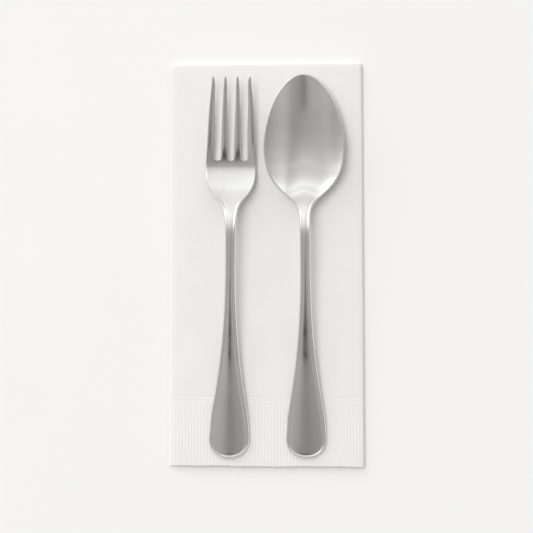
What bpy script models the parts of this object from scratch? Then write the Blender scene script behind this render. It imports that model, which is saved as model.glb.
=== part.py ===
"""A disposable dinner set: a folded paper napkin with a metallised plastic fork and spoon on it.

Units are metres, +Z is up and +Y points from the handles to the tines and the bowl. The origin
is on the table, under the middle of the napkin. Three pieces, none of them joined to another:

  napkin  one square sheet, folded in half at its far edge and then twice in quarters
  fork    one moulding: bead-edged teardrop handle, arched stem, dished head, four tines
  spoon   one moulding: the same handle and stem, egg-shaped bowl
"""
import math

import bmesh
import bpy
import numpy as np
from mathutils import Matrix

MM = 0.001

# Napkin. Its folded outline is a slightly crooked rectangle, given by its corners (mm).
NAPKIN_NEAR_LEFT = (-48.9, -100.2)
NAPKIN_NEAR_RIGHT = (48.9, -100.95)
NAPKIN_FAR_LEFT = (-48.4, 99.95)
NAPKIN_FAR_RIGHT = (47.6, 100.95)
SHEET = 0.24                     # thickness of the soft paper
SHEET_GAP = 0.13                 # air between two layers of it
RUN_PITCH = 2 * (SHEET + SHEET_GAP)   # from one double run to the next
LOOSE_EDGE_SETBACK = (1.2, 2.4)  # the cut ends stop short of the left fold
FOLD_STEPS = 8                   # facets round a fold
NAPKIN_TOP = 4 * RUN_PITCH - SHEET_GAP

# Cutlery: (distance from the handle's end, half width), in mm.
HANDLE_END_LENGTH = 10.0
HANDLE_HALF_WIDTH = 10.25
HANDLE_END_POWER = 2.2           # of the superellipse that rounds the handle's end
STEM_OUTLINE = ((10, 10.25), (20, 9.5), (35, 7.15), (50, 5.1), (65, 3.75), (80, 3.0),
                (95, 2.72), (110, 2.72))
FORK_HEAD_OUTLINE = ((118, 3.0), (124, 3.75), (128, 5.55), (132, 9.0), (136, 11.25),
                     (141, 12.45), (147, 12.5), (158, 12.0), (172, 11.3), (190.6, 9.55))
SPOON_SHOULDER_OUTLINE = ((121, 2.85), (125, 3.6), (128, 5.4), (132, 9.7), (136, 13.8),
                          (141, 17.3), (147, 19.3), (156, 20.15))
FORK_LENGTH = 190.6
SPOON_LENGTH = 192.0
BOWL_WIDEST_AT = 156.0
BOWL_HALF_WIDTH = 20.15
BOWL_TIP_POWERS = (1.75, 0.52)   # of the egg curve from the widest place to the tip
BLUNT_TIP = 0.4                  # half width where an outline closes

# Cutlery: heights over the napkin (mm) of the middle of the wall along the axis, and how far
# the edge lies below it on the domed handle or above it on the dished head.
HANDLE_HEIGHT = ((0, 1.3), (10, 2.0), (30, 3.45), (45, 4.6), (51, 5.3), (57, 6.35), (63, 7.45),
                 (70, 8.5), (81, 9.95), (93, 11.3), (101, 11.95), (108, 12.2))
FORK_HEAD_HEIGHT = ((112, 12.13), (116, 11.65), (120, 10.6), (124, 9.05), (131, 6.15), (136, 4.15),
                    (141, 2.5), (144.5, 1.52), (146.5, 1.2), (148, 1.24), (150, 1.58), (154, 2.35),
                    (158, 3.0), (165, 3.95), (173, 5.05), (182, 6.4), (190.6, 8.1))
SPOON_HEAD_HEIGHT = ((112, 12.13), (115, 11.8), (118, 11.1), (121, 10.1), (124, 8.95), (127, 7.95),
                     (130, 7.25), (133, 6.55), (136, 5.3), (139, 4.25), (142, 3.55), (146, 2.85),
                     (151, 2.0), (157, 1.32), (163, 1.1), (168, 1.2), (173, 1.5), (178, 2.05),
                     (183, 2.75), (188, 3.5), (192, 4.1))
HANDLE_DOME = ((0, 0.1), (12, 0.85), (35, 0.75), (65, 0.32), (110, 0.3), (118, 0.2), (126, 0.0))
HEAD_DISH = ((120, 0.0), (132, 0.3), (146, 0.55), (164, 0.5), (178, 0.25), (190.6, 0.0))
BOWL_CURVATURE = 0.0147          # of the bowl's section, a parabola (1/mm)
BOWL_BEGINS = (120.0, 130.0)
TONGUE_BOW = 3.2                 # the stem's face ends in the bowl along an arc, this deep
TONGUE_REACH = 40.0              # and this wide (mm2)
TONGUE_SPAN = (120.0, 128.0, 138.0, 170.0)
WALL = ((0, 1.5), (30, 1.6), (70, 2.0), (112, 2.5), (126, 2.1), (142, 1.3), (193, 1.1))
EDGE_ROUND = 0.65                # plan width over which the edge rounds off
BEAD_HEIGHT = 0.3                # raised bead round the handle
BEAD_WIDTH = 1.7
BEAD_FADE = (121.0, 131.0)       # where the bead runs out at the neck

# Fork tines: (distance, size), in mm.
SLOT_ROOT = 150.8                # where the slots' round ends begin
SLOT_ROUND = 1.5                 # depth of a slot's round end
OUTER_TINE_WIDTH = ((150, 4.25), (159, 4.0), (169, 3.4), (178, 2.6), (187, 1.8), (190.6, 0.8))
INNER_TINE_WIDTH = ((150, 3.8), (159, 3.5), (169, 3.0), (178, 2.35), (187, 1.7), (190.6, 0.8))
INNER_TINE_CENTRE = ((150, 3.25), (170, 3.2), (190.6, 3.0))

# Where each piece lies: its handle's end (mm) and how far it leans from +Y (degrees).
FORK_END = (-19.1, -96.7)
FORK_LEAN = -0.42
SPOON_END = (19.6, -96.7)
SPOON_LEAN = 0.45
REST_GAP = 0.3                   # left between pieces that touch

# Facets.
EDGE_COLUMNS = (0.0, 0.22, 0.8, 1.7)     # distances from the edge (mm)
MIDDLE_COLUMNS = 7
TINE_COLUMNS = (-1.0, -0.6, 0.0, 0.6, 1.0)
SLOT_COLUMNS = (-0.707, 0.0, 0.707)
END_ROWS = (0.0, 0.2, 0.6, 1.2, 2.2, 3.8, 6.2, 10.0)
STEM_ROWS = (16, 23, 31, 40, 50, 61, 73, 86, 99, 110, 116, 120)
SHOULDER_ROWS = (123, 125, 127, 129, 131, 133, 136, 139)
BOWL_ROWS = (142, 146, 150.5, 156, 162, 168, 173.5, 178.5, 182.5)
TIP_ROWS = (6.2, 3.8, 2.2, 1.2, 0.6, 0.2, 0.0)
HEAD_ROWS = 4                    # between the shoulder and the slots
TINE_ROWS = (0.0, 0.12, 0.27, 0.43, 0.59, 0.74, 0.86, 0.93, 0.975, 1.0)

PAPER_COLOUR = (0.84, 0.835, 0.82, 1.0)
PLASTIC_COLOUR = (0.62, 0.62, 0.63, 1.0)


def smooth(points, at):
    """Value at a distance on the smooth curve through points, without overshoot."""
    x = np.array([p[0] for p in points], float)
    y = np.array([p[1] for p in points], float)
    step = np.diff(x)
    slope = np.diff(y) / step
    tangent = np.zeros(len(x))
    tangent[0], tangent[-1] = slope[0], slope[-1]
    for k in range(1, len(x) - 1):
        if slope[k - 1] * slope[k] > 0:
            before, after = 2 * step[k] + step[k - 1], step[k] + 2 * step[k - 1]
            tangent[k] = (before + after) / (before / slope[k - 1] + after / slope[k])
    at = min(max(at, x[0]), x[-1])
    k = min(int(np.searchsorted(x, at, side="right")) - 1, len(step) - 1)
    t = (at - x[k]) / step[k]
    start = (1 + 2 * t) * (1 - t) ** 2 * y[k] + t * (1 - t) ** 2 * step[k] * tangent[k]
    end = t * t * (3 - 2 * t) * y[k + 1] + t * t * (t - 1) * step[k] * tangent[k + 1]
    return start + end


def ease(t):
    """0 to 1 with level ends."""
    t = min(max(t, 0.0), 1.0)
    return t * t * (3 - 2 * t)


# ---------------------------------------------------------------- outlines

def handle_half_width(s):
    if s >= HANDLE_END_LENGTH:
        return smooth(STEM_OUTLINE, s)
    r = (HANDLE_END_LENGTH - s) / HANDLE_END_LENGTH
    return max(HANDLE_HALF_WIDTH * (1 - r ** HANDLE_END_POWER) ** (1 / HANDLE_END_POWER), BLUNT_TIP)


def fork_half_width(s):
    if s <= STEM_OUTLINE[-1][0]:
        return handle_half_width(s)
    return smooth(STEM_OUTLINE[-1:] + FORK_HEAD_OUTLINE, s)


def spoon_half_width(s):
    if s <= STEM_OUTLINE[-1][0]:
        return handle_half_width(s)
    if s <= BOWL_WIDEST_AT:
        return smooth(STEM_OUTLINE[-1:] + SPOON_SHOULDER_OUTLINE, s)
    r = min((s - BOWL_WIDEST_AT) / (SPOON_LENGTH - BOWL_WIDEST_AT), 1.0)
    inner, outer = BOWL_TIP_POWERS
    return max(BOWL_HALF_WIDTH * (1 - r ** inner) ** outer, BLUNT_TIP)


def beaded_columns(half_width, count):
    """Sideways places of the columns: fixed distances from each edge, evenly spaced between."""
    inset = [min(d, half_width * d / (d + 0.9)) for d in EDGE_COLUMNS]
    left = [-half_width + d for d in inset]
    middle = np.linspace(left[-1], -left[-1], count + 2)[1:-1]
    return left + list(middle) + [-x for x in reversed(left)]


# ---------------------------------------------------------------- moulded plate

def edge_distances(points, loop_edges):
    """Distance of each plan point from the nearest outline edge."""
    start = points[[a for a, b in loop_edges]]
    run = points[[b for a, b in loop_edges]] - start
    length2 = np.maximum((run ** 2).sum(axis=1), 1e-12)
    nearest = []
    for point in points:
        t = np.clip(((point - start) * run).sum(axis=1) / length2, 0, 1)
        nearest.append(np.sqrt(((point - start - t[:, None] * run) ** 2).sum(axis=1)).min())
    return np.array(nearest)


def moulded_plate(name, plan, faces, middle_height):
    """Close a plan mesh into a solid: an upper and a lower skin that share their outline.

    plan holds (sideways, distance along) in mm, and faces are counter-clockwise quads in it.
    """
    directed = {(f[k], f[(k + 1) % 4]) for f in faces for k in range(4)}
    outline = [edge for edge in directed if edge[::-1] not in directed]
    on_outline = {vertex for edge in outline for vertex in edge}
    inward = edge_distances(np.array(plan), sorted(outline))

    bm = bmesh.new()
    upper, lower = [], []
    for k, (x, s) in enumerate(plan):
        middle = middle_height(x, s)
        half_wall = smooth(WALL, s) / 2
        rounding = math.sqrt(1 - (1 - min(inward[k] / EDGE_ROUND, 1.0)) ** 2)
        bead = 0.0
        if inward[k] < BEAD_WIDTH:
            fade = 1 - ease((s - BEAD_FADE[0]) / (BEAD_FADE[1] - BEAD_FADE[0]))
            bead = BEAD_HEIGHT * fade * math.sin(math.pi * inward[k] / BEAD_WIDTH)
        top = bm.verts.new((x * MM, s * MM, (middle + half_wall * rounding + bead) * MM))
        upper.append(top)
        if k in on_outline:
            lower.append(top)
        else:
            lower.append(bm.verts.new((x * MM, s * MM, (middle - half_wall * rounding) * MM)))
    for face in faces:
        bm.faces.new([upper[k] for k in face])
        bm.faces.new([lower[k] for k in reversed(face)])
    bm.normal_update()
    mesh = bpy.data.meshes.new(name)
    bm.to_mesh(mesh)
    bm.free()
    mesh.shade_smooth()
    return bpy.data.objects.new(name, mesh)


def grid_faces(rows):
    """Counter-clockwise quads between rows of vertex numbers, each row from left to right."""
    return [(near[k], near[k + 1], far[k + 1], far[k])
            for near, far in zip(rows, rows[1:]) for k in range(len(near) - 1)]


def lay(piece, end, lean):
    """Set a piece down on the napkin with its handle's end at a place, leaning from +Y."""
    lowest = min(vertex.co.z for vertex in piece.data.vertices)
    height = (NAPKIN_TOP + REST_GAP) * MM - lowest
    turn = Matrix.Rotation(math.radians(lean), 4, "Z")
    piece.matrix_world = Matrix.Translation((end[0] * MM, end[1] * MM, height)) @ turn


def make_spoon():
    rows = list(END_ROWS + STEM_ROWS + SHOULDER_ROWS + BOWL_ROWS)
    rows += [SPOON_LENGTH - back for back in TIP_ROWS]
    plan, numbers = [], []
    for s in rows:
        columns = beaded_columns(spoon_half_width(s), MIDDLE_COLUMNS)
        numbers.append(range(len(plan), len(plan) + len(columns)))
        plan += [(x, s) for x in columns]
    return moulded_plate("spoon", plan, grid_faces(numbers), spoon_middle)


def spoon_middle(x, s):
    """A domed handle; a bowl whose section is the same parabola all along."""
    start, full, still, gone = TONGUE_SPAN
    bow = TONGUE_BOW * (1 - math.exp(-x * x / TONGUE_REACH))
    bow *= ease((s - start) / (full - start)) * ease((gone - s) / (gone - still))
    dome = smooth(HANDLE_DOME, s) * (x / spoon_half_width(s)) ** 2
    begin, whole = BOWL_BEGINS
    hollow = BOWL_CURVATURE * x * x * ease((s - begin) / (whole - begin))
    return smooth(HANDLE_HEIGHT + SPOON_HEAD_HEIGHT, s + bow) - dome + hollow


def tine_spans(s):
    """Left and right sides of the four tines at a distance."""
    side = fork_half_width(s)
    outer = smooth(OUTER_TINE_WIDTH, s)
    centre = smooth(INNER_TINE_CENTRE, s)
    half = smooth(INNER_TINE_WIDTH, s) / 2
    right = [(centre - half, centre + half), (side - outer, side)]
    return [(-b, -a) for a, b in reversed(right)] + right


def tine_places(span):
    centre, half = (span[0] + span[1]) / 2, (span[1] - span[0]) / 2
    return [centre + half * t for t in TINE_COLUMNS]


def head_columns(s):
    """Sideways places of the head's columns: those of the tines with those of the slots between."""
    spans = tine_spans(max(s, SLOT_ROOT))
    squeeze = fork_half_width(s) / spans[-1][1]
    places = []
    for k, span in enumerate(spans):
        places += tine_places(span)
        if k < 3:
            left, right = span[1], spans[k + 1][0]
            places += [(left + right) / 2 + (right - left) / 2 * t for t in SLOT_COLUMNS]
    return [x * squeeze for x in places]


def make_fork():
    plan, numbers = [], []

    def add_row(places, distances):
        numbers.append(range(len(plan), len(plan) + len(places)))
        plan.extend(zip(places, distances))

    total = len(head_columns(SLOT_ROOT))
    neck, shoulder = STEM_ROWS[-3], SHOULDER_ROWS[-1]
    for s in END_ROWS + STEM_ROWS + SHOULDER_ROWS:
        to_head = ease((s - neck) / (shoulder - neck))
        beaded = beaded_columns(fork_half_width(s), total - 2 * len(EDGE_COLUMNS))
        head = head_columns(s)
        add_row([a + (b - a) * to_head for a, b in zip(beaded, head)], [s] * total)

    tine_width, slot_width = len(TINE_COLUMNS), len(SLOT_COLUMNS)
    depth = ([0.0] * tine_width + [math.sqrt(1 - t * t) for t in SLOT_COLUMNS]) * 4
    for step in range(1, HEAD_ROWS + 1):
        level = [shoulder + (SLOT_ROOT - SLOT_ROUND * d - shoulder) * step / HEAD_ROWS
                 for d in depth[:total]]
        add_row(head_columns(level[0]), level)
    faces = grid_faces(numbers)

    root_row = numbers[-1]
    for tine in range(4):
        first = tine * (tine_width + slot_width)
        numbers = [root_row[first:first + tine_width]]
        for part in TINE_ROWS[1:]:
            s = SLOT_ROOT + (FORK_LENGTH - SLOT_ROOT) * part
            add_row(tine_places(tine_spans(s)[tine]), [s] * tine_width)
        faces += grid_faces(numbers)
    return moulded_plate("fork", plan, faces, fork_middle)


def fork_middle(x, s):
    across = min(abs(x) / fork_half_width(s), 1.0)
    sideways = smooth(HEAD_DISH, s) - smooth(HANDLE_DOME, s)
    return smooth(HANDLE_HEIGHT + FORK_HEAD_HEIGHT, s) + sideways * across ** 2


# ---------------------------------------------------------------- napkin

def fold_path(left, right):
    """The way the double sheet runs, seen from its near end: (x, z, sideways x, sideways z).

    It starts at the loose end on the table, turns up round the right side to the top, back
    round the left side, and in once more at the right, ending loose on the third level.
    """
    level = [(k + 0.5) * RUN_PITCH - SHEET_GAP / 2 for k in range(4)]
    path = []

    def bend(x, start, end, side):
        centre, radius = (start + end) / 2, abs(end - start) / 2
        turn = math.copysign(1, end - start)
        for k in range(FOLD_STEPS + 1):
            angle = -math.pi / 2 + math.pi * k / FOLD_STEPS
            out, up = math.cos(angle), math.sin(angle) * turn
            path.append((x + side * radius * out, centre + radius * up, turn * out, turn * side * up))

    outer, inner = (level[3] - level[0]) / 2, RUN_PITCH / 2
    reach = RUN_PITCH / 2 - SHEET_GAP / 2
    path.append((left + LOOSE_EDGE_SETBACK[0], level[0], 0.0, -1.0))
    bend(right - outer - reach, level[0], level[3], 1)
    bend(left + inner + reach, level[3], level[2], -1)
    bend(right - outer - reach, level[2], level[1], 1)
    path.append((left + LOOSE_EDGE_SETBACK[1], level[1], 0.0, 1.0))
    return path


def make_napkin():
    """Sweep a hairpin, two layers of paper joined at the far edge, along the fold path."""
    near_y, far_y = NAPKIN_NEAR_LEFT[1], NAPKIN_FAR_RIGHT[1]
    left, right = NAPKIN_NEAR_LEFT[0], NAPKIN_NEAR_RIGHT[0]
    hollow, outer = SHEET_GAP / 2, SHEET_GAP / 2 + SHEET
    turns = [math.pi * k / 4 for k in range(5)]
    bend_at = far_y - outer
    outside = [(near_y, outer)] + [(bend_at + outer * math.sin(a), outer * math.cos(a)) for a in turns]
    inside = [(near_y, hollow)] + [(bend_at + hollow * math.sin(a), hollow * math.cos(a)) for a in turns]
    outside.append((near_y, -outer))
    inside.append((near_y, -hollow))
    ring = outside + inside[::-1]

    def to_outline(x, y):
        """Move a place of the plain rectangle to its place in the crooked one."""
        u, v = (x - left) / (right - left), (y - near_y) / (far_y - near_y)
        weights = ((1 - u) * (1 - v), u * (1 - v), (1 - u) * v, u * v)
        corners = (NAPKIN_NEAR_LEFT, NAPKIN_NEAR_RIGHT, NAPKIN_FAR_LEFT, NAPKIN_FAR_RIGHT)
        return [sum(w * corner[axis] for w, corner in zip(weights, corners)) for axis in (0, 1)]

    bm = bmesh.new()
    stations = []
    for x, z, side_x, side_z in fold_path(left, right):
        station = []
        for y, off in ring:
            place = to_outline(x + side_x * off, y)
            station.append(bm.verts.new((place[0] * MM, place[1] * MM, (z + side_z * off) * MM)))
        stations.append(station)
    count = len(ring)
    for one, two in zip(stations, stations[1:]):
        for k in range(count):
            after = (k + 1) % count
            bm.faces.new((one[k], one[after], two[after], two[k]))
    for station, flip in ((stations[0], True), (stations[-1], False)):
        for k in range(count // 2 - 1):
            quad = [station[k], station[k + 1], station[count - 2 - k], station[count - 1 - k]]
            bm.faces.new(quad[::-1] if flip else quad)
    bmesh.ops.recalc_face_normals(bm, faces=bm.faces)
    mesh = bpy.data.meshes.new("napkin")
    bm.to_mesh(mesh)
    bm.free()
    mesh.shade_smooth()
    mesh.set_sharp_from_angle(angle=math.radians(40))
    return bpy.data.objects.new("napkin", mesh)


# ---------------------------------------------------------------- materials and scene

def principled(name, colour, roughness, metallic):
    material = bpy.data.materials.new(name)
    material.use_nodes = True
    shader = material.node_tree.nodes["Principled BSDF"]
    shader.inputs["Base Color"].default_value = colour
    shader.inputs["Roughness"].default_value = roughness
    shader.inputs["Metallic"].default_value = metallic
    return material


def main():
    for item in list(bpy.data.objects):
        bpy.data.objects.remove(item)
    collection = bpy.data.collections.new("cutlery_pack")
    bpy.context.scene.collection.children.link(collection)

    napkin, fork, spoon = make_napkin(), make_fork(), make_spoon()
    lay(fork, FORK_END, FORK_LEAN)
    lay(spoon, SPOON_END, SPOON_LEAN)
    napkin.data.materials.append(principled("soft_paper", PAPER_COLOUR, 0.9, 0.0))
    for piece in (fork, spoon):
        piece.data.materials.append(principled(f"silver_plastic_{piece.name}", PLASTIC_COLOUR, 0.3, 1.0))
    for piece in (napkin, fork, spoon):
        collection.objects.link(piece)


main()
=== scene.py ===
"""Looks of the disposable dinner set: embossed paper napkin, metallised plastic fork and spoon.

Lengths of shapes are in mm until they become vertices; everything else is in metres.
"""

import math

import bpy
import numpy as np
from mathutils import Matrix, Vector


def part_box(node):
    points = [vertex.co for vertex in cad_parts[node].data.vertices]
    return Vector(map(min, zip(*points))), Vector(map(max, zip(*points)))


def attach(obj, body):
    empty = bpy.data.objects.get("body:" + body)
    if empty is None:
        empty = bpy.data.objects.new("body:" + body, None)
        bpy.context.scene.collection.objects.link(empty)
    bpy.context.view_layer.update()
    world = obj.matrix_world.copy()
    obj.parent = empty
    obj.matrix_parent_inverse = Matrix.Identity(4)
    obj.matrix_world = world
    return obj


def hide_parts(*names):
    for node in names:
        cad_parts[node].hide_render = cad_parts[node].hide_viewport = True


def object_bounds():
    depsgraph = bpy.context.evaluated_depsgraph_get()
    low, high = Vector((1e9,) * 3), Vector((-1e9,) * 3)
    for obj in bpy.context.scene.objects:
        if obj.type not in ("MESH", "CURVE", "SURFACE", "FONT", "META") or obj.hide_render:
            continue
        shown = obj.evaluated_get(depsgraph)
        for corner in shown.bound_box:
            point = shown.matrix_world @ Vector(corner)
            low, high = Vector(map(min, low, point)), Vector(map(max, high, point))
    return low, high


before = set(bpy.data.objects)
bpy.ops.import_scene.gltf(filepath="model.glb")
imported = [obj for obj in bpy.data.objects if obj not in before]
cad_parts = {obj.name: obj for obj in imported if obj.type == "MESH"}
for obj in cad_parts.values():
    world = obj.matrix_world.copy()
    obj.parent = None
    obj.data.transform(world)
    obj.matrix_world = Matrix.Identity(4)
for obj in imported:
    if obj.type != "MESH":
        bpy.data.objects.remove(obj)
CAD_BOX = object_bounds()

MM = 0.001
NAPKIN_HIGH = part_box("napkin")[1].z      # metres
NAPKIN_TOP = NAPKIN_HIGH / MM

# ---------------------------------------------------------------- driving dimensions (mm)

# Napkin: corners of its folded outline, and its layers from the table up.
NEAR_LEFT = (-48.9, -100.2)
NEAR_RIGHT = (48.9, -100.95)
FAR_LEFT = (-48.4, 99.95)
FAR_RIGHT = (47.6, 100.95)
SHEET = 0.24                     # thickness of the soft paper
SHEET_GAP = 0.13                 # air between two layers of it
RUN_PITCH = 2 * (SHEET + SHEET_GAP)   # from one double run to the next
LOOSE_EDGE_SETBACK = (1.2, 2.4)  # the cut ends stop short of the left fold
PLY_STEP = 0.3                   # the under ply of each run stops this far short at the near end
CORNER_ROUND = 1.3               # of the thick far right corner, in plan

# The stack of layers thins out towards each side: share of its height, and how far in.
THIN_LEFT = (0.26, 1.9)
THIN_RIGHT = (0.2, 1.8)
THIN_FAR = (0.09, 1.2)
THIN_NEAR = (0.03, 1.2)

# Soft waves of the paper: wavelength along X and along Y, phase, height.
PAPER_WAVES = ((31.0, 17.0, 0.3, 0.03), (-47.0, 29.0, 1.7, 0.036), (19.0, 61.0, 4.1, 0.027),
               (83.0, -37.0, 2.6, 0.036), (-23.0, -53.0, 5.2, 0.021))
# The near edges of the layers lie out of line: height, radians per mm, and per full height.
EDGE_WAVES = ((0.12, 0.11, 5.0), (0.08, 0.31, 9.0))
EDGE_WAVE_REACH = 4.0

# Embossed band along the napkin's near end.
RIB_PITCH = 1.59
RIB_HEIGHT = 0.055
RIB_START = -68.3
RIB_RUN_OUT = 0.5
CROSS_BEAD_HEIGHT = 0.8 * RIB_HEIGHT  # a low bead along the ribs' far ends
CROSS_BEAD_AT = RIB_START + 0.15
CROSS_BEAD_WIDTH = 0.45
LINE_GROOVES = (-65.75, -67.65)
LINE_WIDTH = 0.55
LINE_DEPTH = 0.09

# Cutlery outlines: (distance from the handle's end, half width).
HANDLE_END_LENGTH = 10.0
HANDLE_HALF_WIDTH = 10.25
HANDLE_END_POWER = 2.2           # of the superellipse that rounds the handle's end
HANDLE_END_MERGE = (6.0, 14.0)   # where that curve runs into the stem's outline
STEM_OUTLINE = ((10, 10.25), (20, 9.5), (35, 7.15), (50, 5.1), (65, 3.75), (80, 3.0),
                (95, 2.72), (110, 2.72))
FORK_HEAD_OUTLINE = ((118, 3.0), (124, 3.75), (128, 5.55), (132, 9.0), (136, 11.25),
                     (141, 12.45), (147, 12.5), (158, 12.0), (172, 11.3), (190.6, 9.55))
SPOON_SHOULDER_OUTLINE = ((121, 2.85), (125, 3.6), (128, 5.4), (132, 9.7), (136, 13.8),
                          (141, 17.3), (147, 19.3), (156, 20.15))
FORK_LENGTH = 190.6
SPOON_LENGTH = 192.0
BOWL_WIDEST_AT = 156.0
BOWL_HALF_WIDTH = 20.15
BOWL_TIP_POWERS = (1.75, 0.52)   # of the egg curve from the widest place to the tip
BOWL_TIP_MERGE = (152.0, 160.0)  # where that curve takes over from the shoulder's outline
BLUNT_TIP = 0.4                  # half width where an outline closes

# Heights of the middle of the wall along the axis, and how far the edge lies below (dome) or
# above (dish) it.
HANDLE_HEIGHT = ((0, 1.3), (10, 2.0), (30, 3.45), (45, 4.6), (51, 5.3), (57, 6.35), (63, 7.45),
                 (70, 8.5), (81, 9.95), (93, 11.3), (101, 11.95), (108, 12.2))
FORK_HEAD_HEIGHT = ((112, 12.13), (116, 11.65), (120, 10.6), (124, 9.05), (131, 6.15), (136, 4.15),
                    (141, 2.5), (144.5, 1.52), (146.5, 1.2), (148, 1.24), (150, 1.58), (154, 2.35),
                    (158, 3.0), (165, 3.95), (173, 5.05), (182, 6.4), (190.6, 8.1))
SPOON_HEAD_HEIGHT = ((112, 12.13), (115, 11.8), (118, 11.1), (121, 10.1), (124, 8.95), (127, 7.95),
                     (130, 7.25), (133, 6.55), (136, 5.3), (139, 4.25), (142, 3.55), (146, 2.85),
                     (151, 2.0), (157, 1.32), (163, 1.1), (168, 1.2), (173, 1.5), (178, 2.05),
                     (183, 2.75), (188, 3.5), (192, 4.1))
HANDLE_DOME = ((0, 0.1), (12, 0.85), (35, 0.75), (65, 0.32), (110, 0.3), (118, 0.2), (126, 0.0))
HEAD_DISH = ((120, 0.0), (132, 0.3), (146, 0.55), (164, 0.5), (178, 0.25), (190.6, 0.0))
BOWL_CURVATURE = 0.0147          # of the bowl's section, a parabola (1/mm)
BOWL_BEGINS = (120.0, 130.0)     # the section bends up over this stretch
TONGUE_BOW = 3.2                 # the stem's face ends in the bowl along an arc, this deep
TONGUE_REACH = 40.0              # and this wide (mm2)
TONGUE_SPAN = (120.0, 128.0, 138.0, 170.0)
WALL = ((0, 1.5), (30, 1.6), (70, 2.0), (112, 2.5), (126, 2.1), (142, 1.3), (193, 1.1))
EDGE_ROUND = 0.65                # plan width over which the edge rounds off
BEAD_HEIGHT = 0.34               # raised bead round the handle
BEAD_PLACE = 0.8                 # in from the edge
BEAD_SPREAD = 0.45
GROOVE_DEPTH = 0.1               # just inside the bead
GROOVE_PLACE = 1.75
GROOVE_SPREAD = 0.35
BEAD_FADE = (121.0, 131.0)       # where the bead runs out at the neck
SOFTEN = 1.6                     # spread over which the shape curves are evened out

TINE_CROWN = 0.22                # rise of the rounded top of a tine
TINE_CROWN_REACH = 2.0           # in from the edge
TINE_CROWN_FROM = (150.0, 160.0)
HEAD_WAVE = 0.16                 # depth of the low wave across the fork's head
HEAD_WAVE_REACH = 9.3            # from the head's axis to the wave's next crest
HEAD_WAVE_SPAN = (138.0, 146.0, 156.0, 166.0)

# Fork tines.
SLOT_ROOT = 150.8
SLOT_ROUND = 1.5
OUTER_TINE_WIDTH = ((150, 4.25), (159, 4.0), (169, 3.4), (178, 2.6), (187, 1.8), (190.6, 0.8))
INNER_TINE_WIDTH = ((150, 3.8), (159, 3.5), (169, 3.0), (178, 2.35), (187, 1.7), (190.6, 0.8))
INNER_TINE_CENTRE = ((150, 3.25), (170, 3.2), (190.6, 3.0))

# Where the cutlery lies: handle's end, and lean from +Y in degrees.
FORK_END = (-19.1, -96.7)
FORK_LEAN = -0.42
SPOON_END = (19.6, -96.7)
SPOON_LEAN = 0.45
REST_GAP = 0.12                  # over the napkin


# ---------------------------------------------------------------- curves

def monotone(points, at):
    """Cubic through points without overshoot, at an array of distances."""
    x = np.array([p[0] for p in points], float)
    y = np.array([p[1] for p in points], float)
    step = np.diff(x)
    slope = np.diff(y) / step
    tangent = np.zeros(len(x))
    tangent[0], tangent[-1] = slope[0], slope[-1]
    for k in range(1, len(x) - 1):
        if slope[k - 1] * slope[k] > 0:
            before, after = 2 * step[k] + step[k - 1], step[k] + 2 * step[k - 1]
            tangent[k] = (before + after) / (before / slope[k - 1] + after / slope[k])
    inside = np.clip(at, x[0], x[-1])
    k = np.clip(np.searchsorted(x, inside, side="right") - 1, 0, len(step) - 1)
    t = (inside - x[k]) / step[k]
    start = (1 + 2 * t) * (1 - t) ** 2 * y[k] + t * (1 - t) ** 2 * step[k] * tangent[k]
    end = t * t * (3 - 2 * t) * y[k + 1] + t * t * (t - 1) * step[k] * tangent[k + 1]
    beyond = np.where(at < x[0], (at - x[0]) * tangent[0], (at - x[-1]) * tangent[-1])
    return start + end + np.where((at < x[0]) | (at > x[-1]), beyond, 0.0)


class Curve:
    """A monotone cubic whose bends are evened out, so that it reflects without kinks."""
    STEP = 0.1

    def __init__(self, points, soften=SOFTEN):
        margin = 5 * soften
        self.x = np.arange(points[0][0] - margin, points[-1][0] + margin, self.STEP)
        reach = int(4 * soften / self.STEP)
        kernel = np.exp(-0.5 * (np.arange(-reach, reach + 1) * self.STEP / soften) ** 2)
        values = np.pad(monotone(points, self.x), reach, mode="reflect", reflect_type="odd")
        self.y = np.convolve(values, kernel / kernel.sum(), mode="valid")

    def __call__(self, at):
        return np.interp(at, self.x, self.y)


def ease(t):
    """0 to 1 with level ends."""
    t = np.clip(t, 0.0, 1.0)
    return t * t * (3 - 2 * t)


def over(at, start, end):
    """Rises from 0 to 1 between two distances."""
    return ease((at - start) / (end - start))


fork_outline = Curve(STEM_OUTLINE + FORK_HEAD_OUTLINE, 1.0)
spoon_outline = Curve(STEM_OUTLINE + SPOON_SHOULDER_OUTLINE + ((165, 20.15),), 1.0)
wall = Curve(WALL, 3.0)
fork_height = Curve(HANDLE_HEIGHT + FORK_HEAD_HEIGHT, 1.1)
spoon_height = Curve(HANDLE_HEIGHT + SPOON_HEAD_HEIGHT, 1.0)
handle_dome = Curve(HANDLE_DOME, 2.0)
head_dish = Curve(HEAD_DISH, 2.5)
outer_tine_width = Curve(OUTER_TINE_WIDTH, 0.5)
inner_tine_width = Curve(INNER_TINE_WIDTH, 0.5)
inner_tine_centre = Curve(INNER_TINE_CENTRE)


def with_handle_end(s, half_width):
    """Round off the handle's end of an outline with a superellipse."""
    r = np.clip((HANDLE_END_LENGTH - s) / HANDLE_END_LENGTH, 0.0, 1.0)
    rounded = HANDLE_HALF_WIDTH * (1 - r ** HANDLE_END_POWER) ** (1 / HANDLE_END_POWER)
    merge = over(s, *HANDLE_END_MERGE)
    return np.maximum(rounded * (1 - merge) + half_width * merge, BLUNT_TIP)


def fork_half_width(s):
    return with_handle_end(s, fork_outline(s))


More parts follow.
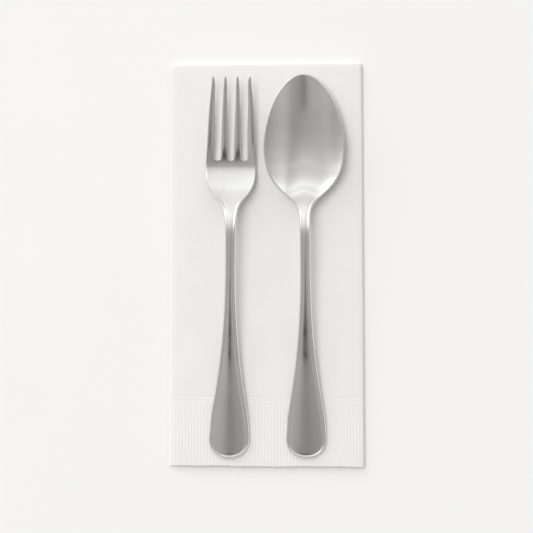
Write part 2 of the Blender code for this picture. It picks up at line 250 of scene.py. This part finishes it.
def spoon_half_width(s):
    r = np.clip((s - BOWL_WIDEST_AT) / (SPOON_LENGTH - BOWL_WIDEST_AT), 0.0, 1.0)
    inner, outer = BOWL_TIP_POWERS
    egg = BOWL_HALF_WIDTH * (1 - r ** inner) ** outer
    merge = over(s, *BOWL_TIP_MERGE)
    return np.maximum(with_handle_end(s, spoon_outline(s)) * (1 - merge) + egg * merge, BLUNT_TIP)


# ---------------------------------------------------------------- moulded plates

BLOCK = 400                      # points handled at once, to spare memory


def edge_distances(points, edges):
    """Distance of plan points from the nearest outline edge, worked out in blocks."""
    start = points[edges[:, 0]]
    run = points[edges[:, 1]] - start
    length2 = np.maximum((run ** 2).sum(axis=1), 1e-12)
    nearest = np.empty(len(points))
    for first in range(0, len(points), BLOCK):
        block = points[first:first + BLOCK, None, :] - start
        t = np.clip((block * run).sum(axis=2) / length2, 0, 1)
        away2 = ((block - t[..., None] * run) ** 2).sum(axis=2)
        nearest[first:first + BLOCK] = np.sqrt(away2.min(axis=1))
    return nearest


def mesh_object(name, places, faces):
    mesh = bpy.data.meshes.new(name)
    mesh.from_pydata(places.tolist(), [], [tuple(int(v) for v in f) for f in faces])
    mesh.update()
    mesh.shade_smooth()
    piece = bpy.data.objects.new(name, mesh)
    bpy.context.scene.collection.objects.link(piece)
    return piece


def moulded_plate(name, plan, faces, middle_height, detail=None):
    """Close a plan mesh into a solid: an upper and a lower skin that share their outline."""
    plan, faces = np.array(plan), np.array(faces)
    sides = np.concatenate([faces[:, [k, (k + 1) % 4]] for k in range(4)])
    codes = sides[:, 0] * len(plan) + sides[:, 1]
    backward = sides[:, 1] * len(plan) + sides[:, 0]
    outline = sides[~np.isin(codes, backward)]
    inward = edge_distances(plan, outline)

    x, s = plan.T
    middle = middle_height(x, s)
    half_wall = wall(s) / 2
    rounding = np.sqrt(1 - (1 - np.minimum(inward / EDGE_ROUND, 1.0)) ** 2)
    fade = 1 - over(s, *BEAD_FADE)
    bead = BEAD_HEIGHT * np.exp(-((inward - BEAD_PLACE) / BEAD_SPREAD) ** 2)
    groove = GROOVE_DEPTH * np.exp(-((inward - GROOVE_PLACE) / GROOVE_SPREAD) ** 2)
    top = middle + (half_wall + (bead - groove) * fade) * rounding
    if detail:
        top = top + detail(x, s, inward) * rounding
    low = middle - half_wall * rounding

    on_outline = np.zeros(len(plan), bool)
    on_outline[outline.ravel()] = True
    lower = np.arange(len(plan))
    lower[~on_outline] = len(plan) + np.arange((~on_outline).sum())
    upper_places = np.column_stack([x, s, top])
    lower_places = np.column_stack([x, s, low])[~on_outline]
    all_faces = np.concatenate([faces, lower[faces[:, ::-1]]])
    return mesh_object(name, np.concatenate([upper_places, lower_places]) * MM, all_faces)


def grid_faces(rows):
    return [(near[k], near[k + 1], far[k + 1], far[k])
            for near, far in zip(rows, rows[1:]) for k in range(len(near) - 1)]


# Mesh density (mm). Columns and rows crowd together at the edges, where the bead is.
EDGE_COLUMNS = (0.0, 0.015, 0.05, 0.11, 0.19, 0.29, 0.4, 0.52, 0.66, 0.8, 0.95, 1.1, 1.27, 1.45,
                1.65, 1.9, 2.2)
EDGE_MARGIN = 0.6                # a half width this much over the last one needs no squeezing
END_ROWS = EDGE_COLUMNS + (2.7, 3.3, 4.0, 4.8, 5.7, 6.6, 7.5)
FIRST_PLAIN_ROW = 8.5
ROW_SPACING = 1.0
SPOON_MIDDLE_COLUMNS = 31


def beaded_columns(half_width, count):
    """Fixed distances in from each edge, evenly spaced between; a narrow row packs them closer."""
    squeeze = min(1.0, half_width / (EDGE_COLUMNS[-1] + EDGE_MARGIN))
    left = [-half_width + d * squeeze for d in EDGE_COLUMNS]
    middle = np.linspace(left[-1], -left[-1], count + 2)[1:-1]
    return left + list(middle) + [-x for x in reversed(left)]


def lay(piece, end, lean):
    """Set a piece down on the napkin with its handle's end at a place, leaning from +Y."""
    lowest = min(vertex.co.z for vertex in piece.data.vertices)
    height = (NAPKIN_TOP + REST_GAP) * MM - lowest
    turn = Matrix.Rotation(math.radians(lean), 4, "Z")
    piece.data.transform(Matrix.Translation((end[0] * MM, end[1] * MM, height)) @ turn)


def make_spoon():
    rows = list(END_ROWS) + list(np.arange(FIRST_PLAIN_ROW, SPOON_LENGTH - 8, ROW_SPACING))
    rows += [SPOON_LENGTH - back for back in reversed(END_ROWS)]
    plan, numbers = [], []
    for s in rows:
        columns = beaded_columns(float(spoon_half_width(np.array(s))), SPOON_MIDDLE_COLUMNS)
        numbers.append(range(len(plan), len(plan) + len(columns)))
        plan += [(x, s) for x in columns]
    return moulded_plate("spoon_moulding", plan, grid_faces(numbers), spoon_middle)


def spoon_middle(x, s):
    """A domed handle; a bowl whose section is the same parabola all along."""
    start, full, still, gone = TONGUE_SPAN
    bow = TONGUE_BOW * (1 - np.exp(-x * x / TONGUE_REACH))
    bow = bow * over(s, start, full) * (1 - over(s, still, gone))
    dome = handle_dome(s) * (x / spoon_half_width(s)) ** 2
    hollow = BOWL_CURVATURE * x * x * over(s, *BOWL_BEGINS)
    return spoon_height(s + bow) - dome + hollow


TINE_COLUMNS = [math.sin(math.pi / 2 * t) for t in np.linspace(-1, 1, 15)]
SLOT_COLUMNS = [math.sin(math.pi / 2 * t) for t in np.linspace(-1, 1, 9)[1:-1]]
HEAD_BLEND = (116.0, 137.0)      # the handle's columns turn into the head's over this stretch
HEAD_ROWS_FROM = 141.0
HEAD_ROW_PARTS = (0.12, 0.24, 0.36, 0.48, 0.58, 0.68, 0.77, 0.84, 0.9, 0.94, 0.97, 0.99, 1.0)
TINE_ROW_PARTS = (*np.linspace(0, 0.93, 38), 0.95, 0.965, 0.977, 0.986, 0.992, 0.996, 0.999, 1.0)


def tine_spans(s):
    """Left and right sides of the four tines at a distance."""
    side = float(fork_outline(s))
    outer = float(outer_tine_width(s))
    centre = float(inner_tine_centre(s))
    half = float(inner_tine_width(s)) / 2
    right = [(centre - half, centre + half), (side - outer, side)]
    return [(-b, -a) for a, b in reversed(right)] + right


def tine_places(span):
    centre, half = (span[0] + span[1]) / 2, (span[1] - span[0]) / 2
    return [centre + half * t for t in TINE_COLUMNS]


def head_columns(s):
    """Sideways places of the head's columns: those of the tines, with the slots' between."""
    spans = tine_spans(max(s, SLOT_ROOT))
    squeeze = float(fork_outline(s)) / spans[-1][1]
    places = []
    for k, span in enumerate(spans):
        places += tine_places(span)
        if k < 3:
            left, right = span[1], spans[k + 1][0]
            places += [(left + right) / 2 + (right - left) / 2 * t for t in SLOT_COLUMNS]
    return [x * squeeze for x in places]


def make_fork():
    plan, numbers = [], []

    def add_row(places, distances):
        numbers.append(range(len(plan), len(plan) + len(places)))
        plan.extend(zip(places, distances))

    total = len(head_columns(SLOT_ROOT))
    plain_rows = np.arange(FIRST_PLAIN_ROW, HEAD_ROWS_FROM + 0.1, ROW_SPACING)
    for s in list(END_ROWS) + list(plain_rows):
        to_head = float(over(s, *HEAD_BLEND))
        half_width = float(fork_half_width(np.array(s)))
        beaded = beaded_columns(half_width, total - 2 * len(EDGE_COLUMNS))
        head = head_columns(s)
        add_row([a + (b - a) * to_head for a, b in zip(beaded, head)], [s] * total)

    last = plan[-1][1]
    tine_width, slot_width = len(TINE_COLUMNS), len(SLOT_COLUMNS)
    depth = ([0.0] * tine_width + [math.sqrt(1 - t * t) for t in SLOT_COLUMNS]) * 4
    for part in HEAD_ROW_PARTS:
        level = [last + (SLOT_ROOT - SLOT_ROUND * d - last) * part for d in depth[:total]]
        add_row(head_columns(level[0]), level)
    faces = grid_faces(numbers)

    root_row = numbers[-1]
    for tine in range(4):
        first = tine * (tine_width + slot_width)
        numbers = [root_row[first:first + tine_width]]
        for part in TINE_ROW_PARTS[1:]:
            s = SLOT_ROOT + (FORK_LENGTH - SLOT_ROOT) * part
            add_row(tine_places(tine_spans(s)[tine]), [s] * tine_width)
        faces += grid_faces(numbers)
    return moulded_plate("fork_moulding", plan, faces, fork_middle, head_relief)


def fork_middle(x, s):
    across = np.minimum(np.abs(x) / fork_half_width(s), 1.0)
    return fork_height(s) + (head_dish(s) - handle_dome(s)) * across ** 2


def head_relief(x, s, inward):
    """The tines are rounded across their top, and the head waves a little across its width."""
    rounding = np.minimum(inward / TINE_CROWN_REACH, 1.0) - 0.6
    crown = TINE_CROWN * over(s, *TINE_CROWN_FROM) * rounding
    start, full, still, gone = HEAD_WAVE_SPAN
    window = over(s, start, full) * (1 - over(s, still, gone))
    wave = HEAD_WAVE * (np.cos(math.pi * x / HEAD_WAVE_REACH) - 1) / 2
    return crown + wave * window


# ---------------------------------------------------------------- napkin

def outline_place(x, y):
    """Move places of the plain rectangle to their places in the crooked outline."""
    left, right = NEAR_LEFT[0], NEAR_RIGHT[0]
    near, far = NEAR_LEFT[1], FAR_RIGHT[1]
    u, v = (x - left) / (right - left), (y - near) / (far - near)
    weights = ((1 - u) * (1 - v), u * (1 - v), (1 - u) * v, u * v)
    corners = (NEAR_LEFT, NEAR_RIGHT, FAR_LEFT, FAR_RIGHT)
    return [sum(w * corner[axis] for w, corner in zip(weights, corners)) for axis in (0, 1)]


def fold_path():
    """The way the double sheet runs, as (x, z, sideways x, sideways z), from its loose end on
    the table, up round the right side to the top, round the left side, and in at the right."""
    left, right = NEAR_LEFT[0], NEAR_RIGHT[0]
    level = [(k + 0.5) * RUN_PITCH - SHEET_GAP / 2 for k in range(4)]
    outer, inner = (level[3] - level[0]) / 2, RUN_PITCH / 2
    reach = RUN_PITCH / 2 - SHEET_GAP / 2
    right_turn, left_turn = right - outer - reach, left + inner + reach
    path = []

    def run(start, end, z, up, spacing):
        count = max(2, round(abs(end - start) / spacing))
        path.extend((x, z, 0.0, up) for x in np.linspace(start, end, count + 1))

    def bend(x, start, end, side, steps):
        centre, radius = (start + end) / 2, abs(end - start) / 2
        turn = math.copysign(1, end - start)
        for angle in np.linspace(-math.pi / 2, math.pi / 2, steps + 1)[1:-1]:
            out, up = math.cos(angle), math.sin(angle) * turn
            path.append((x + side * radius * out, centre + radius * up, turn * out, turn * side * up))

    fine, plain, hidden = RIB_PITCH / 8, RIB_PITCH / 4, 9.0     # spacing of the stations
    run(left + LOOSE_EDGE_SETBACK[0], right_turn, level[0], -1.0, plain)
    bend(right_turn, level[0], level[3], 1, 14)
    run(right_turn, left_turn, level[3], 1.0, fine)
    bend(left_turn, level[3], level[2], -1, 10)
    run(left_turn, right_turn, level[2], -1.0, hidden)
    bend(right_turn, level[2], level[1], 1, 8)
    run(right_turn, left + LOOSE_EDGE_SETBACK[1], level[1], 1.0, hidden)
    return np.array(path)


def hairpin():
    """Section of the double sheet along Y: outer chain and inner chain as (y, offset).

    The rows crowd together at both ends and where the paper is embossed.
    """
    near, far = NEAR_LEFT[1], FAR_RIGHT[1]
    hollow, outer = SHEET_GAP / 2, SHEET_GAP / 2 + SHEET
    bend_at = far - outer
    rows = [near + back for back in (0.0, 0.25, 0.6, 1.2)]
    rows += list(np.arange(near + 3.2, RIB_START - 1.5, 2.6))
    rows += list(np.arange(RIB_START - 1.2, LINE_GROOVES[0] + 1.2, 0.2))
    rows += list(np.arange(LINE_GROOVES[0] + 3.0, bend_at - 9, 5.0))
    rows += [bend_at - back for back in (8.0, 6.0, 4.5, 3.2, 2.2, 1.4, 0.8, 0.4)]
    turns = np.linspace(0, math.pi, 9)
    under = np.linspace(bend_at - 12, near + PLY_STEP, 9)
    outside = [(y, outer) for y in rows]
    outside += [(bend_at + outer * math.sin(a), outer * math.cos(a)) for a in turns]
    outside += [(y, -outer) for y in under]
    inside = [(y, hollow) for y in list(under[::-1][:-1] - PLY_STEP) + [bend_at - 12]]
    inside += [(bend_at + hollow * math.sin(a), hollow * math.cos(a)) for a in turns]
    inside += [(y, -hollow) for y in under]
    return outside, inside


def embossing(x, y):
    """Height of the pressed pattern: two lines across, and ribs from there to the near edge."""
    phase = 2 * math.pi * x / RIB_PITCH
    ribs = RIB_HEIGHT * np.cos(phase) * ease((RIB_START - y) / RIB_RUN_OUT)
    cross_bead = CROSS_BEAD_HEIGHT * np.exp(-((y - CROSS_BEAD_AT) / CROSS_BEAD_WIDTH) ** 2)
    lines = sum(LINE_DEPTH * np.exp(-((y - groove) / LINE_WIDTH) ** 2) for groove in LINE_GROOVES)
    return ribs + cross_bead - lines


def undulation(x, y):
    """Soft waves of the folded paper, none of them over the plain thickness."""
    return sum(height * (np.sin(2 * math.pi * (x / along_x + y / along_y) + phase) - 1)
               for along_x, along_y, phase, height in PAPER_WAVES)


def plumpness(x, y):
    """The stack of layers thins out softly towards its folds."""
    inward = ((x - NEAR_LEFT[0], THIN_LEFT), (NEAR_RIGHT[0] - x, THIN_RIGHT),
              (FAR_RIGHT[1] - y, THIN_FAR), (y - NEAR_LEFT[1], THIN_NEAR))
    return 1 - sum(share * np.exp(-np.maximum(distance, 0) / reach)
                   for distance, (share, reach) in inward)


def round_far_right(x, y):
    """Press the square far right corner into a quarter disc."""
    a = np.clip((x - (NEAR_RIGHT[0] - CORNER_ROUND)) / CORNER_ROUND, 0, 1)
    b = np.clip((y - (FAR_RIGHT[1] - CORNER_ROUND)) / CORNER_ROUND, 0, 1)
    return (x - CORNER_ROUND * a * (1 - np.sqrt(1 - b * b / 2)),
            y - CORNER_ROUND * b * (1 - np.sqrt(1 - a * a / 2)))


def make_napkin():
    """Sweep the hairpin along the fold path, then soften, wave and emboss it."""
    path = fold_path()
    outside, inside = hairpin()
    ring = np.array(outside + inside[::-1])
    x = path[:, 0, None] + path[:, 2, None] * ring[None, :, 1]
    y = np.broadcast_to(ring[None, :, 0], x.shape)
    z = path[:, 1, None] + path[:, 3, None] * ring[None, :, 1]
    height = z / NAPKIN_TOP
    z = z * plumpness(x, y) + undulation(x, y) * height + embossing(x, y)
    edge_wave = sum(size * np.sin(x * per_mm + height * per_height)
                    for size, per_mm, per_height in EDGE_WAVES)
    y = y + edge_wave * np.exp(-(y - NEAR_LEFT[1]) / EDGE_WAVE_REACH)
    x, y = round_far_right(x, y)
    x, y = outline_place(x, y)
    places = np.stack([x, y, z], axis=-1).reshape(-1, 3) * MM

    count = len(ring)
    station = np.arange(len(path))[:, None] * count
    k = np.arange(count)[None, :]
    after = (k + 1) % count
    one, two = station[:-1], station[1:]
    quads = np.stack([one + k, one + after, two + after, two + k], axis=-1).reshape(-1, 4)
    faces = [tuple(f[::-1]) for f in quads]
    faces += end_caps(outside, inside, count, (len(path) - 1) * count)
    piece = mesh_object("napkin_sheet", places, faces)
    piece.data.set_sharp_from_angle(angle=math.radians(50))
    return piece


def end_caps(outside, inside, count, last):
    """Close the sheet's two loose edges: polygons between the outer and the inner chain."""
    def along(chain):
        distance = [0.0]
        for (y0, o0), (y1, o1) in zip(chain, chain[1:]):
            distance.append(distance[-1] + math.hypot(y1 - y0, o1 - o0))
        return [d / distance[-1] for d in distance]

    caps = []
    outer_at, inner_at = along(outside), along(inside)
    i = 0
    for k in range(len(inside) - 1):
        stop = i
        while stop < len(outside) - 1 and (outer_at[stop] < inner_at[k + 1] - 1e-9
                                           or k == len(inside) - 2):
            stop += 1
        polygon = list(range(i, stop + 1)) + [count - 2 - k, count - 1 - k]
        if len(polygon) > 2:
            caps.append(tuple(polygon))
            caps.append(tuple(last + v for v in reversed(polygon)))
        i = stop
    return caps


# ---------------------------------------------------------------- materials

class Nodes:
    """Short calls for building one material's node tree. Lengths are in metres."""

    def __init__(self, name):
        self.material = bpy.data.materials.new(name)
        self.material.use_nodes = True
        self.tree = self.material.node_tree
        self.shader = self.tree.nodes["Principled BSDF"]
        self.place = self.tree.nodes.new("ShaderNodeTexCoord").outputs["Object"]

    def add(self, kind, **settings):
        node = self.tree.nodes.new(kind)
        for key, value in settings.items():
            setattr(node, key, value)
        return node

    def link(self, source, target):
        self.tree.links.new(source, target)

    def noise(self, size, stretch=(1, 1, 1), detail=3.0, roughness=0.55):
        """Noise whose blobs are about size metres across, squeezed along each axis by stretch."""
        mapping = self.add("ShaderNodeMapping")
        mapping.inputs["Scale"].default_value = stretch
        self.link(self.place, mapping.inputs["Vector"])
        noise = self.add("ShaderNodeTexNoise")
        noise.inputs["Scale"].default_value = 1 / size
        noise.inputs["Detail"].default_value = detail
        noise.inputs["Roughness"].default_value = roughness
        self.link(mapping.outputs["Vector"], noise.inputs["Vector"])
        return noise.outputs["Fac"]

    def ramp(self, source, stops):
        ramp = self.add("ShaderNodeValToRGB")
        elements = ramp.color_ramp.elements
        while len(elements) < len(stops):
            elements.new(0.5)
        for element, (position, value) in zip(elements, stops):
            element.position = position
            colour = value if hasattr(value, "__len__") else (value, value, value)
            element.color = (*colour, 1.0)
        self.link(source, ramp.inputs["Fac"])
        return ramp.outputs["Color"]

    def bump(self, height, distance, strength=1.0, under=None):
        bump = self.add("ShaderNodeBump")
        bump.inputs["Strength"].default_value = strength
        bump.inputs["Distance"].default_value = distance
        self.link(height, bump.inputs["Height"])
        if under:
            self.link(under, bump.inputs["Normal"])
        return bump.outputs["Normal"]

    def set(self, **values):
        for name, value in values.items():
            self.shader.inputs[name.replace("_", " ")].default_value = value


def paper():
    """Soft airlaid tissue: matt and white, with a fine pebbled face and a few long fibres."""
    n = Nodes("airlaid_paper")
    tone = n.ramp(n.noise(0.004, detail=4),
                  [(0.3, (0.838, 0.837, 0.832)), (0.7, (0.853, 0.852, 0.847))])
    n.link(tone, n.shader.inputs["Base Color"])
    pebbles = n.bump(n.noise(0.0011, detail=2), 0.00006, 0.6)
    fibres = n.bump(n.noise(0.0009, stretch=(1, 0.25, 1), detail=5), 0.00003, 0.6, pebbles)
    n.link(fibres, n.shader.inputs["Normal"])
    n.link(n.ramp(n.noise(0.002), [(0.3, 0.86), (0.7, 0.96)]), n.shader.inputs["Roughness"])
    n.set(Sheen_Weight=0.08, Sheen_Roughness=0.6, Specular_IOR_Level=0.25)
    return n.material


def silver_coat():
    """Thin metallised coat on moulded plastic: satin, faintly wavy, with fine lengthwise rubs."""
    n = Nodes("silver_coat")
    tone = n.ramp(n.noise(0.009, detail=3),
                  [(0.3, (0.83, 0.825, 0.81)), (0.7, (0.86, 0.856, 0.842))])
    n.link(tone, n.shader.inputs["Base Color"])
    rubs = n.noise(0.0007, stretch=(1, 0.06, 1), detail=4)
    n.link(n.ramp(rubs, [(0.25, 0.12), (0.75, 0.18)]), n.shader.inputs["Roughness"])
    waves = n.bump(n.noise(0.006, stretch=(1, 0.5, 1), detail=1), 0.00002, 0.35)
    fine = n.bump(rubs, 0.000002, 0.5, waves)
    n.link(fine, n.shader.inputs["Normal"])
    n.set(Metallic=1.0)
    return n.material


def floor_finish():
    """Smooth pale card."""
    n = Nodes("pale_floor")
    tone = n.ramp(n.noise(0.05), [(0.3, (0.905, 0.905, 0.905)), (0.7, (0.91, 0.91, 0.91))])
    n.link(tone, n.shader.inputs["Base Color"])
    n.set(Roughness=0.9, Specular_IOR_Level=0.1)
    return n.material


# ---------------------------------------------------------------- stage, light and camera

FLOOR_HALF = 20.0
FLOOR_CLEARANCE = 0.0002         # below the set


def make_floor():
    corners = FLOOR_HALF * np.array([(-1, -1, 0), (1, -1, 0), (1, 1, 0), (-1, 1, 0)])
    floor = mesh_object("floor", corners, [(0, 1, 2, 3)])
    floor.location.z = CAD_BOX[0].z - FLOOR_CLEARANCE
    floor.data.materials.append(floor_finish())


# The tent's brightness by angle from overhead: -90 is left or near, 90 is right or far. It is
# the product of one ramp across and one along, less a dim slot over the set and the slot's
# core, plus a glow low down at the far left.
SKY_ALONG = ((-90, 0.12), (-60, 0.22), (-42, 0.31), (-25, 0.33), (-18, 0.355), (-10, 0.355),
             (-4, 0.33), (0, 0.33), (4, 0.345), (8, 0.37), (12.5, 0.4), (17, 0.45), (23, 0.6),
             (30, 0.69), (36, 0.79), (45, 0.93), (52, 0.7), (61, 0.48), (75, 0.42), (90, 0.35))
SKY_ACROSS = ((-90, 0.2), (-83, 0.5), (-76, 1.8), (-68, 1.8), (-60, 1.2), (-49, 1.05),
              (-38, 1.18), (-28, 1.12), (-15, 1.06), (0, 1.0), (9, 0.92), (17, 0.86), (22, 0.91),
              (29, 1.13), (37, 1.25), (46, 1.15), (58, 0.93), (68, 0.55), (78, 0.25), (90, 0.1))
SLOT_ALONG = ((-26, 0.0), (-20, 0.36), (-16, 0.32), (-12.5, 0.32), (-9, 0.3), (-5, 0.02),
              (0, 0.0))
SLOT_ACROSS = ((-14, 0.0), (-7, 0.35), (-3, 0.8), (0, 1.0), (4, 0.9), (9, 0.6), (16, 0.1),
               (22, 0.0))
CORE_ALONG = ((-28, 0.0), (-22, 0.9), (-19, 0.9), (-16.5, 0.25), (-12, 0.1), (-6, 0.0))
CORE_ACROSS = ((-6.5, 0.0), (-3, 1.0), (3, 1.0), (6.5, 0.0))
GLOW_TOWARDS = (-0.68, 0.66, 0.28)
GLOW = ((0, 1.1), (15, 1.0), (25, 0.4), (33, 0.06), (40, 0.0))    # by angle from its middle
SKY_STRENGTH = 1.2
DIM_TINT = (1.0, 0.96, 0.9)
WHITE_TINT = (0.996, 1.0, 1.006)
WHITE_FROM = 0.9                 # brightness at which the dim tint has turned white
RAMP_TOP = 4.0                   # keeps the ramps' colours under 1


def studio_world():
    """A white tent, seen only as light and in reflections."""
    world = bpy.data.worlds.new("studio")
    bpy.context.scene.world = world
    world.use_nodes = True
    tree = world.node_tree
    background = tree.nodes["Background"]

    def node(kind, **settings):
        made = tree.nodes.new(kind)
        for key, value in settings.items():
            setattr(made, key, value)
        return made

    def math_node(operation, a, b=None, c=None):
        made = node("ShaderNodeMath", operation=operation)
        for socket, value in zip(made.inputs, (a, b, c)):
            if value is None:
                continue
            if isinstance(value, (int, float)):
                socket.default_value = value
            else:
                tree.links.new(value, socket)
        return made.outputs[0]

    def ramp(angle, stops):
        """Brightness at an angle in radians, from stops in degrees."""
        made = node("ShaderNodeValToRGB")
        made.color_ramp.interpolation = "EASE"
        elements = made.color_ramp.elements
        while len(elements) < len(stops):
            elements.new(0.5)
        for element, (degrees, level) in zip(elements, stops):
            element.position = (degrees + 90) / 180
            element.color = (level / RAMP_TOP, level / RAMP_TOP, level / RAMP_TOP, 1)
        tree.links.new(math_node("MULTIPLY_ADD", angle, 1 / math.pi, 0.5), made.inputs["Fac"])
        return math_node("MULTIPLY", made.outputs["Color"], RAMP_TOP)

    direction = node("ShaderNodeTexCoord").outputs["Generated"]
    split = node("ShaderNodeSeparateXYZ")
    tree.links.new(direction, split.inputs[0])
    across = math_node("ARCSINE", split.outputs[0])
    along = math_node("ARCSINE", split.outputs[1])
    tent = math_node("MULTIPLY", ramp(across, SKY_ACROSS), ramp(along, SKY_ALONG))
    slot = math_node("MULTIPLY", ramp(across, SLOT_ACROSS), ramp(along, SLOT_ALONG))
    core = math_node("MULTIPLY", ramp(across, CORE_ACROSS), ramp(along, CORE_ALONG))
    for shade in (slot, core):
        tent = math_node("MULTIPLY", tent, math_node("SUBTRACT", 1.0, shade))
    aim = node("ShaderNodeVectorMath", operation="DOT_PRODUCT")
    tree.links.new(direction, aim.inputs[0])
    aim.inputs[1].default_value = Vector(GLOW_TOWARDS).normalized()
    glow = ramp(math_node("ARCCOSINE", aim.outputs["Value"]), GLOW)
    level = math_node("ADD", tent, glow)
    tint = node("ShaderNodeMix", data_type="RGBA")
    tree.links.new(math_node("MULTIPLY", level, 1 / WHITE_FROM), tint.inputs["Factor"])
    tint.inputs["A"].default_value = (*DIM_TINT, 1)
    tint.inputs["B"].default_value = (*WHITE_TINT, 1)
    tree.links.new(tint.outputs["Result"], background.inputs["Color"])
    tree.links.new(math_node("MULTIPLY", level, SKY_STRENGTH), background.inputs["Strength"])


KEY_PLACE = Vector((-1.7, 1.0, 5.2))
KEY_SIZE = 2.8
KEY_POWER = 140.0


def make_key_light():
    """A square softbox, high at the far left, that faces the set and isn't mirrored in it."""
    light = bpy.data.lights.new("key_light", "AREA")
    light.shape = "SQUARE"
    light.size = KEY_SIZE
    light.energy = KEY_POWER
    lamp = bpy.data.objects.new("key_light", light)
    lamp.location = KEY_PLACE
    lamp.rotation_euler = (-KEY_PLACE).to_track_quat("-Z", "Y").to_euler()
    lamp.visible_glossy = False
    bpy.context.scene.collection.objects.link(lamp)


CAMERA_HEIGHT = 1.5              # over the napkin
VIEW_WIDTH = 0.2665              # of the napkin's plane in the picture
VIEW_CENTRE = (-0.0003, -0.0007)


def make_camera():
    """Looks straight down on the set."""
    data = bpy.data.cameras.new("camera")
    data.sensor_width = 36.0
    data.lens = data.sensor_width * CAMERA_HEIGHT / VIEW_WIDTH
    data.clip_start = 0.05
    data.clip_end = 60.0
    camera = bpy.data.objects.new("camera", data)
    camera.location = (*VIEW_CENTRE, NAPKIN_HIGH + CAMERA_HEIGHT)
    bpy.context.scene.collection.objects.link(camera)
    bpy.context.scene.camera = camera


# ---------------------------------------------------------------- the set

def main():
    napkin = make_napkin()
    napkin.data.materials.append(paper())
    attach(napkin, "root")
    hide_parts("napkin")

    coat = silver_coat()
    for make, node, end, lean in ((make_fork, "fork", FORK_END, FORK_LEAN),
                                  (make_spoon, "spoon", SPOON_END, SPOON_LEAN)):
        piece = make()
        lay(piece, end, lean)
        piece.data.materials.append(coat)
        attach(piece, "root")
        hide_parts(node)

    make_floor()
    studio_world()
    make_key_light()
    make_camera()
    bpy.context.scene.view_settings.view_transform = "Standard"


main()
